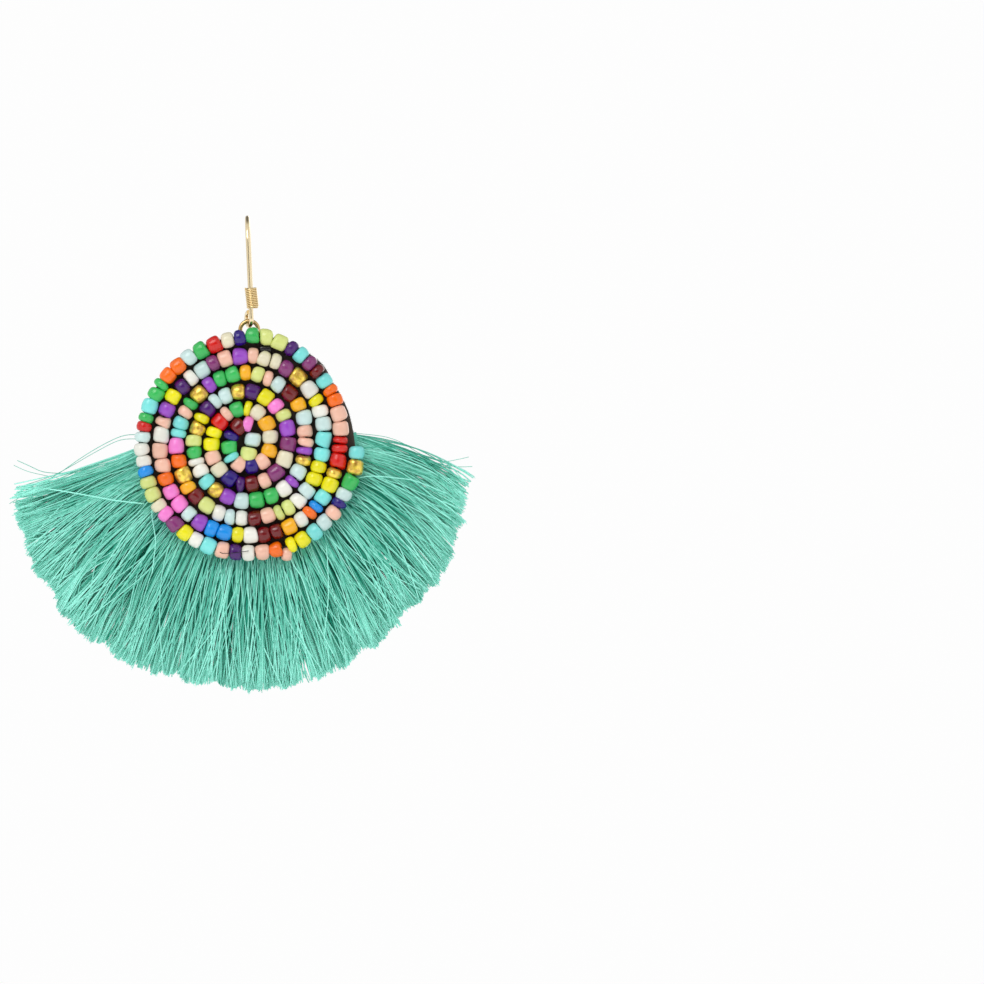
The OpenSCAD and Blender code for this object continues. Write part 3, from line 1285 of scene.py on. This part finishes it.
        # Locks were cut a little aslant
        trim = trim + rng.normal(0, habit.slant, locks)[lock] * locks * (share - middles[lock])
        own = self.lines(self.along_tape(share), stray + rng.normal(0, habit.stray, count), trim)
        shared = self.lines(self.along_tape(middles[lock]), stray, trim)
        far = smooth((share - 1 + self.loose_share) / self.loose_ease)
        loose = (far + smooth((self.loose_share - share) / self.loose_ease))[:, None]
        # A lock gathers below the tape and opens again at its tip
        pull = tight[lock][:, None] * smooth((way - habit.pinch_from) / pinch[lock][:, None])
        pull = pull * (1 - habit.tip_slack * self.tip_zone) * (1 - habit.end_slack * loose)
        aside = quarter_turned(unit(np.gradient(shared, axis=1)))
        apart = np.sum((own - shared) * aside, axis=-1)
        further = own - shared - apart[..., None] * aside
        # Its threads wind round its middle
        wind = rng.normal(0, habit.wind, locks)[lock][:, None] * smooth(way)
        half = self.half_depth(*self.growth)
        deep = layer.spread * rng.uniform(-1, 1, count)[:, None] * half * (1 - habit.flattening * pull)
        near = apart * (1 - pull)
        sideways = near * np.cos(wind) - deep * np.sin(wind)
        wound = np.clip(near, -habit.widest_wind, habit.widest_wind) * np.sin(wind) * pull
        depth = deep * np.cos(wind) + wound
        bow = rng.normal(0, layer.bow, locks)[lock][:, None]
        bow = bow + habit.end_bow * loose * rng.normal(0, 1, count)[:, None]
        bow = bow * np.sin(math.pi * way ** habit.bow_power)
        curl = (habit.curl + habit.end_curl * loose) * rng.normal(0, 1, count)[:, None]
        curl = curl * np.sin(TURN * (way + rng.random(count)[:, None])) * way
        paths = shared + further + aside * (sideways + bow + curl)[..., None]
        paths, opened = self.parted(paths, layer.front)
        level = layer.depth + rng.normal(0, habit.level, locks)[lock][:, None]
        paths[..., 1] = self.disc.fringe_y + level * half + depth
        bands = rng.normal(0, habit.band_tone, habit.bands)
        # The layer's tone, lower for the middle and back layers as painted shade on the deeper threads
        tone = layer.tone + np.interp(share, np.linspace(0, 1, habit.bands), bands)
        tone = tone + habit.lock_tone * rng.normal(size=locks)[lock]
        tone = (tone + habit.thread_tone * rng.normal(size=count))[:, None]
        # The tips are lightened as painted light, where light comes through the thinning threads
        tone = tone + habit.end_tone * loose + habit.tip_painted_light * self.tip_zone
        if not layer.front:
            # Light comes through the threads where few of them lie over one another
            tone = tone + habit.open_tone * opened
        return paths, np.clip(tone, 0, 1)

    def cross(self) -> tuple[Array, Array]:
        """Lays single threads that cross over the others on both faces.

        Returns:
            The threads' paths, and their tones point by point.
        """
        rng, count = self.rng, self.crossing
        across = rng.uniform(*self.crossing_roots, count)
        strays = rng.normal(0, self.crossing_stray, count)
        lines = self.lines(across, strays, rng.uniform(0, self.crossing_short, count))
        bow = rng.normal(0, self.crossing_bow, count)[:, None] * np.sin(math.pi * self.way)
        lines = lines + quarter_turned(unit(np.gradient(lines, axis=1))) * bow[..., None]
        lines, _ = self.parted(lines, True)
        face = np.where(rng.random(count) < self.crossing_front, -1, 1)[:, None]
        half = self.half_depth(*self.crossing_growth, self.crossing_lift)
        lines[..., 1] = self.disc.fringe_y + face * half
        # Most are as dark as the rest, and a few catch the light
        dark, light = self.crossing_tone
        tone = dark + (light - dark) * rng.random(count)[:, None] ** self.crossing_tone_power
        # Their tips are lightened too, as painted light
        tone = tone + self.crossing_tip_painted_light * self.tip_zone
        return lines, np.clip(tone, 0, 1)

    def add_threads(
        self, piece: Piece, paths: Array, tones: Array, diameter: float, sides: int,
    ) -> None:
        """Sweeps threads into a piece.

        Args:
            piece: The piece that they are joined to.
            paths: Their paths.
            tones: Their tones point by point, from 0 for the shade to 1 for the light colour.
            diameter: A thread's diameter.
            sides: How many sides it has.
        """
        count, rings = paths.shape[:2]
        thickness = self.rng.uniform(*self.thread_d_range, count)[:, None] * np.ones(rings)
        points, quads, tris = sweep(paths, diameter / 2 * thickness, sides)
        steps = np.linalg.norm(np.diff(paths, axis=1), axis=2)
        run = np.concatenate([np.zeros((count, 1)), np.cumsum(steps, axis=1)], axis=1)
        # Each thread's twist starts somewhere within ten turns, and goes round it once in a turn
        pitch = TwistedThread.ply_pitch_mm
        run = run + self.rng.uniform(0, 10 * pitch, (count, 1))
        turned = run[:, :, None] + pitch * (np.arange(sides) / sides)
        ply = np.concatenate([turned.reshape(count, -1), run[:, [0, -1]]], axis=1).ravel()
        tone = np.concatenate([np.repeat(tones, sides, axis=1), tones[:, [0, -1]]], axis=1).ravel()
        piece.add(points, quads, tris, tone=tone, ply_mm=ply)

    def fray(self, piece: Piece, paths: Array, tones: Array) -> None:
        """Opens the threads' ends into fine fibres.

        Args:
            piece: The piece that the fibres are joined to.
            paths: The threads' paths.
            tones: The threads' tones.
        """
        rng = self.rng
        chosen = rng.random(len(paths)) < self.frayed_share
        paths, tones = paths[chosen], tones[chosen]
        ahead = np.repeat(unit(paths[:, -1] - paths[:, -2]), self.fibres, axis=0)
        start = np.repeat(paths[:, -1], self.fibres, axis=0) - self.fibre_root * ahead
        single = (len(start), 1)
        aside = quarter_turned(ahead)
        turn = rng.normal(0, self.fibre_turn, single)
        lift = rng.normal(0, self.fibre_lift, single)
        length = rng.uniform(*self.fibre_length, single)
        end = start + length * unit(ahead + turn * aside - lift * FRONT)
        middle = (start + end) / 2 + self.fibre_bend * length * rng.normal(0, 1, single) * aside
        radii = np.tile(self.fibre_radii, single)
        points, quads, tris = sweep(np.stack([start, middle, end], axis=1), radii, 3)
        # The fibres are made lighter than their thread's tip: painted light through the thin fibres
        fibre_lit_tone = np.repeat(np.clip(tones[:, -1] + self.fibre_painted_light, 0, 1), self.fibres)
        tone = np.repeat(fibre_lit_tone, len(points) // len(start))
        piece.add(points, quads, tris, tone=tone, ply_mm=np.zeros(len(points)))

    def strays(self, piece: Piece) -> None:
        """Adds the loose threads that stand clear of the fringe or cross it plainly.

        Args:
            piece: The piece that they are joined to.
        """
        steps = self.stray_rings
        routes = [(marks, self.clear_depth, self.clear_d, self.clear_tone) for marks in self.clear]
        routes += [(marks, self.crossed_depth, self.crossed_d, 1.0) for marks in self.crossed]
        for marks, depth, diameter, tone in routes:
            path = self.disc.over(marks, self.disc.fringe_y, steps)
            # It reaches its depth within a fifth of its length
            path[:, 1] += depth * (0.2 + 0.8 * smooth(np.linspace(0, 5, steps)))
            self.add_threads(piece, path[None], np.full((1, steps), tone), diameter, 5)

    def tape(self, piece: Piece) -> None:
        """Adds the woven head tape, which the round layers hide but for its edge.

        Args:
            piece: The piece that it makes up.
        """
        columns, half = self.tape_columns, self.tape_half
        angle = np.linspace(self.root_from, self.root_to, columns)
        weave = self.disc.fringe_y + self.tape_weave * np.where(np.arange(columns) % 2 == 0, 1, -1)
        corners = ((self.tape_r, -half), (self.tape_outer_r, -half), (self.tape_outer_r, half),
                   (self.tape_r, half))
        section = [self.disc.place(np.full(columns, r), angle, y + weave) for r, y in corners]
        points = np.stack(section, axis=1).reshape(-1, 3)
        last = 4 * (columns - 1)
        caps = np.array([[0, 1, 2, 3], [last + 3, last + 2, last + 1, last]])
        piece.add(points, np.concatenate([ring_quads(columns, 4), caps]),
                  tone=np.full(len(points), self.tape_tone),
                  ply_mm=np.repeat(np.arange(columns) * self.tape_pitch, 4))

    def build(self) -> None:
        """Makes the tape, three depths of thread, the threads that cross and the frayed ends."""
        finish = TwistedThread("teal_viscose", "#1C9E82", "#A0F4E2", 0.42).material()
        tape, frayed, over = (Piece(name, Body.DROP, "teal_thread", finish)
                              for name in ("fringe_tape", "fringe_fray", "fringe_crossing"))
        self.tape(tape)
        tape.build("fringe")
        for layer in self.layers:
            piece = Piece(layer.name, Body.DROP, "teal_thread", finish)
            paths, tones = self.fan(layer)
            self.add_threads(piece, paths, tones, self.thread_d, 5 if layer.front else 4)
            self.fray(frayed, paths, tones)
            piece.build("fringe")
        paths, tones = self.cross()
        self.add_threads(over, paths, tones, self.crossing_d, 5)
        self.strays(over)
        over.build()
        frayed.build()


@dataclass
class FeltLayers:
    """The black felt under the beads and the backing behind it, cut out together with scissors.

    Angles are clockwise from the top, in degrees.
    """

    disc: Disc
    seed: int = 3
    columns: int = 240
    # The scissor-cut edge: how far it runs out of round, in how many waves, and how uneven it is
    ripple: float = 0.2
    waves: tuple[int, ...] = (3, 5, 8, 13)
    uneven: float = 0.02
    uneven_from: float = 0.75
    uneven_ease: float = 0.1
    # Where the layers part round the head tape and the jump ring, and how far
    recess: float = 0.95
    tape_r: float = 14.4
    tape_ease: float = 0.6
    tape_from: float = 78.0
    tape_to: float = 278.0
    ring_r: float = 16.0
    ring_ease: float = 0.5
    ring_half: float = 12.0
    turn_ease: float = 4.0
    # The fine hairs on the cut edge
    hairs: int = 700
    hair_radii: tuple[float, float, float] = (0.022, 0.018, 0.012)
    hair_root: float = 0.15
    hair_reach: Span = (0.15, 0.35)
    hair_turn: float = 1.2
    hair_lift: float = 0.15
    hair_bend: float = 0.05
    # The front of the backing's edge, which lies too deep for hairs to show
    hairless: float = 1.0
    # Clockwise angle, and how far the scissors cut inside the round there
    cuts: Table = (
        (0, 0.0), (40, 0.0), (44, 0.15), (52, 0.85), (64, 0.95), (78, 0.95), (88, 0.7), (98, 0.2),
        (106, 0.0), (360, 0.0),
    )
    # Share of the way out to the edge, and how far through the felt its corner is rounded there
    section: Table = (
        (0.02, 0), (0.25, 0), (0.5, 0), (0.74, 0), (0.79, 0), (0.82, 0), (0.86, 0), (0.9, 0),
        (0.94, 0.02), (0.975, 0.1), (1.0, 0.3),
    )

    def outline(self, angle: Array, rng: np.random.Generator) -> Array:
        """Gives the scissor-cut edge, slightly out of round.

        Args:
            angle: Angles round the disc.
            rng: The seeded source of chance.

        Returns:
            The edge's distance from the middle at each angle.
        """
        table = np.array(self.cuts)
        edge = self.disc.radius - self.ripple - np.interp(angle, table[:, 0], table[:, 1])
        for waves in self.waves:
            phase = np.radians(waves * angle) + rng.uniform(0, TURN)
            edge = edge + self.ripple / 2 / math.sqrt(waves) * np.sin(phase)
        return edge

    def opened(self, radius: Array, angle: Array) -> Array:
        """Tells how far the layers part round the head tape and the jump ring.

        Args:
            radius: Distances from the middle.
            angle: Angles round the disc.

        Returns:
            From 0, where they touch, to 1.
        """
        begun = smooth((angle - self.tape_from) / self.turn_ease)
        ended = smooth((self.tape_to - angle) / self.turn_ease)
        tape = smooth((radius - self.tape_r) / self.tape_ease) * begun * ended
        off_top = np.minimum(angle, 360 - angle)
        near_top = smooth((self.ring_half - off_top) / self.turn_ease)
        return np.maximum(tape, smooth((radius - self.ring_r) / self.ring_ease) * near_top)

    def layer(
        self, name: str, slot: str, node: str, front: float, back: float, recess: float,
        finish: bpy.types.Material,
    ) -> bpy.types.Object:
        """Makes one round layer with soft edges.

        Args:
            name: The piece's name.
            slot: The record's material slot.
            node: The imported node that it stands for.
            front: The depth of its front face.
            back: The depth of its back face.
            recess: How far the front face stands back where the layers part.
            finish: Its material.

        Returns:
            The layer.
        """
        rng = np.random.default_rng(self.seed)
        angle = 360 * np.arange(self.columns) / self.columns
        edge = self.outline(angle, rng)
        shares, rounded = np.array(self.section).T
        faces = [front + recess * self.opened(share * edge, angle) for share in shares]
        steps = list(zip(shares, rounded, faces))
        rows = [self.disc.place(s * edge, angle, f + r * (back - f)) for s, r, f in steps]
        rows += [self.disc.place(s * edge, angle, back - r * (back - f)) for s, r, f in reversed(steps)]
        middles = [self.disc.place(np.zeros(1), np.zeros(1), y) for y in (front, back)]
        points = np.concatenate(rows + middles)
        # The cut edge is uneven, the pressed faces are flat
        cut = smooth((shares - self.uneven_from) / self.uneven_ease)
        cut = np.append(np.repeat([*cut, *cut[::-1]], self.columns), [0, 0])
        points[:, 1] += rng.normal(0, self.uneven, len(points)) * cut
        piece = Piece(name, Body.DROP, slot, finish)
        piece.add(points, ring_quads(len(rows), self.columns), end_fans(len(rows), self.columns))
        return piece.build(node)

    def fuzz(self, finish: bpy.types.Material) -> None:
        """Adds the fine hairs that stand out of the cut edges.

        Args:
            finish: The felt.
        """
        rng = np.random.default_rng(self.seed + 1)
        count = self.hairs
        angle = rng.uniform(0, 360, count)
        edge = self.outline(angle, np.random.default_rng(self.seed)) - self.hair_root
        depth = np.where(
            rng.random(count) < 0.5,
            rng.uniform(self.disc.felt_front_y, self.disc.felt_back_y, count),
            rng.uniform(self.disc.backing_front_y + self.hairless, self.disc.backing_back_y, count),
        )
        start = self.disc.place(edge, angle, depth)
        end = self.disc.place(
            edge + rng.uniform(*self.hair_reach, count),
            angle + rng.normal(0, self.hair_turn, count),
            depth + rng.normal(0, self.hair_lift, count),
        )
        middle = (start + end) / 2 + rng.normal(0, self.hair_bend, (count, 3))
        piece = Piece("felt_fuzz", Body.DROP, "black_felt", finish)
        piece.add(*sweep(np.stack([start, middle, end], axis=1), np.tile(self.hair_radii, (count, 1)), 3))
        piece.build()

    def build(self) -> None:
        disc = self.disc
        craft = PressedFelt("craft_felt", "#241D19", "#52473F").material()
        plain = PressedFelt("backing_felt", "#121013", "#2E2A2E").material()
        felt = self.layer("felt_disc", "black_felt", "felt_base", disc.felt_front_y, disc.felt_back_y,
                          0.0, craft)
        backing = self.layer("backing_disc", "backing_felt", "backing", disc.backing_front_y,
                             disc.backing_back_y, self.recess, plain)
        self.fuzz(craft)


@dataclass
class WireParts:
    """The gilt metal parts: the hook, the coil round its leg and the jump ring."""

    nodes: dict[str, bpy.types.Object]
    coil_r: float = 0.9
    coil_h: float = 3.6
    coil_wire_d: float = 0.285
    coil_pitch: float = 0.29
    coil_lean: float = 6.5
    coil_start: float = 170.0
    coil_steps: int = 32

    def coil(self, finish: bpy.types.Material) -> None:
        """Winds the coil closely from round wire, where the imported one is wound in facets.

        Args:
            finish: Its plating.
        """
        low, high = (np.array(corner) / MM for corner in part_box("wire_coil"))
        rise = self.coil_h - self.coil_wire_d
        turns = rise / self.coil_pitch
        share = np.linspace(0, 1, round(turns * self.coil_steps))
        angle = math.radians(self.coil_start) + TURN * turns * share
        lean = math.radians(self.coil_lean)
        down = np.array([math.sin(lean), 0.0, -math.cos(lean)])
        right = np.array([math.cos(lean), 0.0, math.sin(lean)])
        out = np.cos(angle)[:, None] * right + np.sin(angle)[:, None] * FRONT
        path = (low + high) / 2 + rise * (share - 0.5)[:, None] * down + self.coil_r * out
        radii = np.full((1, len(path)), self.coil_wire_d / 2)
        piece = Piece("gilt_coil", Body.EAR_WIRE, "gilt_coil", finish)
        piece.add(*sweep(path[None], radii, 10, out[None]))
        piece.build("wire_coil")

    def build(self) -> None:
        """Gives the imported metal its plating, and winds the coil."""
        finishes = {
            "ear_wire": GiltWire("gilt_hook", "#EFDCB4", 0.2),
            "jump_ring": GiltWire("gilt_ring", "#D2B078", 0.25),
        }
        for name, finish in finishes.items():
            plated = finish.material()
            for slot in self.nodes[name].material_slots:
                slot.material = plated
            LOG.info("%s: gilt", name)
        self.coil(GiltWire("gilt_coil", "#E6CC98", 0.22).material())


@dataclass
class Studio:
    """The pale floor, the soft lights and the camera."""

    photo_px: float = 984.0
    px_per_mm: float = 6.0
    hook_top_px: Span = (247.0, 215.0)
    hook_top_mm: Span = (0.0, 0.75)
    distance: float = 3.0
    floor_z: float = -0.16
    floor_side: float = 2.2
    tent: float = 0.85
    lights_aim: tuple[float, float, float] = (0.0, 0.0, -0.045)

    def camera(self) -> None:
        """Sets the camera straight on, with the photo's frame."""
        half = self.photo_px / 2
        x = self.hook_top_mm[0] + (half - self.hook_top_px[0]) / self.px_per_mm
        z = self.hook_top_mm[1] - (half - self.hook_top_px[1]) / self.px_per_mm
        data = bpy.data.cameras.new("camera")
        data.sensor_width = 36.0
        data.lens = data.sensor_width * self.distance / (self.photo_px / self.px_per_mm * MM)
        data.clip_start, data.clip_end = 0.1, 20.0
        camera = bpy.data.objects.new("camera", data)
        camera.location = (x * MM, -self.distance - 5 * MM, z * MM)
        camera.rotation_euler = (math.radians(90), 0, 0)
        bpy.context.scene.collection.objects.link(camera)
        bpy.context.scene.camera = camera

    def light(self, name: str, place: tuple[float, float, float], size: float, watts: float) -> None:
        """Hangs one soft light that faces the earring.

        Args:
            name: Its name.
            place: Where it hangs, in metres.
            size: The side of its square, in metres.
            watts: Its power.
        """
        data = bpy.data.lights.new(name, "AREA")
        data.size, data.energy = size, watts
        lamp = bpy.data.objects.new(name, data)
        away = np.array(place) - self.lights_aim
        lamp.location = place
        lamp.rotation_euler = (math.acos(away[2] / np.linalg.norm(away)), 0, math.atan2(away[0], -away[1]))
        lamp.visible_camera = False
        bpy.context.scene.collection.objects.link(lamp)

    def world(self) -> None:
        """Sets a white surround: even to the camera, and to the earring a tent open in front and above."""
        world = bpy.data.worlds.new("surround")
        world.use_nodes = True
        tree = world.node_tree
        tree.nodes.clear()
        path = add_node(tree, "ShaderNodeLightPath")
        place = add_node(tree, "ShaderNodeTexCoord")
        toward = add_node(tree, "ShaderNodeSeparateXYZ", None, {0: place.outputs["Generated"]})
        front = add_node(tree, "ShaderNodeMapRange",
                         {"From Min": -0.97, "From Max": -0.88, "To Min": 0.2, "To Max": self.tent},
                         {"Value": toward.outputs["Y"]})
        # The opening at the top lies up and back
        behind = add_node(tree, "ShaderNodeMath", {"operation": "MULTIPLY", 1: 0.6},
                          {0: toward.outputs["Y"]})
        toward_top = add_node(tree, "ShaderNodeMath", {"operation": "MULTIPLY_ADD", 1: 0.8},
                              {0: toward.outputs["Z"], 2: behind})
        top = add_node(tree, "ShaderNodeMapRange",
                       {"From Min": 0.72, "From Max": 0.92, "To Min": 1.0, "To Max": 0.2},
                       {"Value": toward_top})
        to_earring = add_node(tree, "ShaderNodeMath", {"operation": "MULTIPLY"}, {0: front, 1: top})
        strength = add_node(tree, "ShaderNodeMix", {"data_type": "FLOAT", 3: 0.985},
                            {0: path.outputs["Is Camera Ray"], 2: to_earring})
        light = add_node(tree, "ShaderNodeBackground", {"Color": (1.0, 1.0, 1.0, 1.0)},
                         {"Strength": strength})
        add_node(tree, "ShaderNodeOutputWorld", None, {"Surface": light})
        bpy.context.scene.world = world
        bpy.context.scene.view_settings.view_transform = "Standard"

    def floor(self) -> None:
        """Lays the opal table top under the earring."""
        half = self.floor_side / 2
        corners = ((-half, -half), (half, -half), (half, half), (-half, half))
        mesh = bpy.data.meshes.new("floor")
        mesh.from_pydata([(x, y, self.floor_z) for x, y in corners], [], [(0, 1, 2, 3)])
        mesh.materials.append(OpalAcrylic().material())
        table = bpy.data.objects.new("floor", mesh)
        bpy.context.scene.collection.objects.link(table)

    def build(self) -> None:
        """Sets up the studio."""
        self.camera()
        self.world()
        self.floor()
        self.light("key_light", (-0.35, -0.6, 0.5), 0.45, 2.6)
        self.light("fill_light", (0.6, -0.5, 0.1), 0.6, 0.4)
        self.light("back_light", (0.3, 0.7, 0.05), 0.5, 0.8)


def main() -> None:
    """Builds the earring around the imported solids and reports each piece."""
    logging.basicConfig(level=logging.INFO, format="%(name)s %(message)s")
    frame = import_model()
    disc = Disc.from_frame()
    Studio().build()
    WireParts(frame["nodes"]).build()
    FeltLayers(disc).build()
    BeadDisc(disc).build()
    Fringe(disc).build()


if __name__ == "__main__":
    main()
